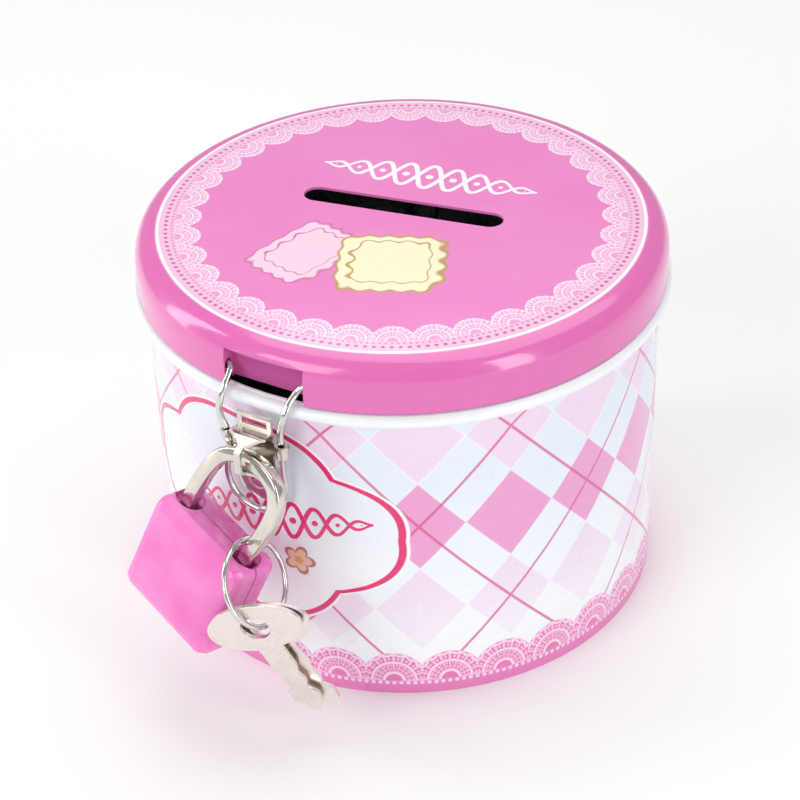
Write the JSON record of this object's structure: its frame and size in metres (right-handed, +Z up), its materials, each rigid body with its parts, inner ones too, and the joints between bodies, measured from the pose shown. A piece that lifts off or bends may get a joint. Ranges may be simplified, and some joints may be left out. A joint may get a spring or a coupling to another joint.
{
  "type": "tin money box",
  "caption": "Round tin money box with a coin slot in its hinged lid, a wire bail latch, a toy padlock and keys.",
  "frame": {"origin": "on the ground, under the middle of the bounding box", "axes": "+Z up, +X along the coin slot, the latch and padlock are at the -Y side and the hinge at the +Y side"},
  "size_m": [0.088, 0.1088, 0.0649],
  "materials": {
    "print": "gloss",
    "tinplate": "satin",
    "lid_paint": "gloss",
    "nickel": "polished",
    "pink_plastic": "gloss",
    "key_metal": "satin"
  },
  "bodies": {
    "tin": {"body_wall": "print", "body_bottom": "tinplate", "hinge_body_leaf": "nickel", "hinge_pin": "nickel", "hinge_body_rivet_1": "nickel", "hinge_body_rivet_2": "nickel", "keeper_foot": "nickel", "keeper_rivet": "nickel", "keeper_washer": "nickel"},
    "lid": {"lid_shell": "lid_paint", "hinge_lid_leaf": "nickel", "hinge_lid_rivet_1": "nickel", "hinge_lid_rivet_2": "nickel"},
    "bail": {"bail_wire": "nickel", "hasp_plate": "nickel"},
    "shackle": {"shackle": "nickel"},
    "padlock_case": {"padlock_front": "pink_plastic", "padlock_rear": "pink_plastic", "shackle_pin": "nickel"},
    "lock_plug": {"lock_plug": "nickel"},
    "lock_bolt": {"lock_bolt": "nickel", "bolt_spring": "nickel"},
    "key_ring": {"key_ring": "nickel"},
    "key_front": {"key_front": "key_metal"},
    "key_rear": {"key_rear": "key_metal"}
  },
  "joints": [
    {"name": "lid_open", "type": "hinge", "parent": "tin", "child": "lid", "pos_m": [0.00797, 0.05195, 0.0572], "axis": [-0.9848, 0.1736, 0], "range_deg": [0, 105]},
    {"name": "bail_swing", "type": "hinge", "parent": "lid", "child": "bail", "pos_m": [-0.00721, -0.03412, 0.05945], "axis": [-0.9848, 0.1736, 0], "range_deg": [0, 85]},
    {"name": "padlock_swing", "type": "hinge", "parent": "bail", "child": "shackle", "pos_m": [-0.00816, -0.04061, 0.04853], "axis": [-0.9848, 0.1736, 0], "range_deg": [-4, 50]},
    {"name": "shackle_open", "type": "hinge", "parent": "shackle", "child": "padlock_case", "pos_m": [-0.0202, -0.03954, 0.03488], "axis": [0.3723, 0.8914, -0.2583], "range_deg": [0, 20]},
    {"name": "plug_turn", "type": "hinge", "parent": "padlock_case", "child": "lock_plug", "pos_m": [-0.01946, -0.04389, 0.02093], "axis": [0.3796, 0.1077, 0.9189], "range_deg": [0, 90]},
    {"name": "bolt_slide", "type": "slide", "parent": "padlock_case", "child": "lock_bolt", "axis": [-0.8469, 0.4402, 0.2983], "range_m": [0, 0.0012]},
    {"name": "ring_swing", "type": "hinge", "parent": "shackle", "child": "key_ring", "pos_m": [-0.00609, -0.04519, 0.0357], "axis": [-0.8798, 0.145, -0.4527], "range_deg": [-8, 8]},
    {"name": "key_front_swing", "type": "hinge", "parent": "key_ring", "child": "key_front", "pos_m": [-0.00414, -0.05196, 0.02534], "axis": [-0.1687, 0.9736, 0.1534], "range_deg": [-12, 12]},
    {"name": "key_rear_swing", "type": "hinge", "parent": "key_ring", "child": "key_rear", "pos_m": [-0.0034, -0.05034, 0.02441], "axis": [-0.1687, 0.9736, 0.1534], "range_deg": [-12, 8]}
  ],
  "couplings": [
    {"joint": "plug_turn", "follows": "bolt_slide", "rad_per_m": 1309}
  ]
}
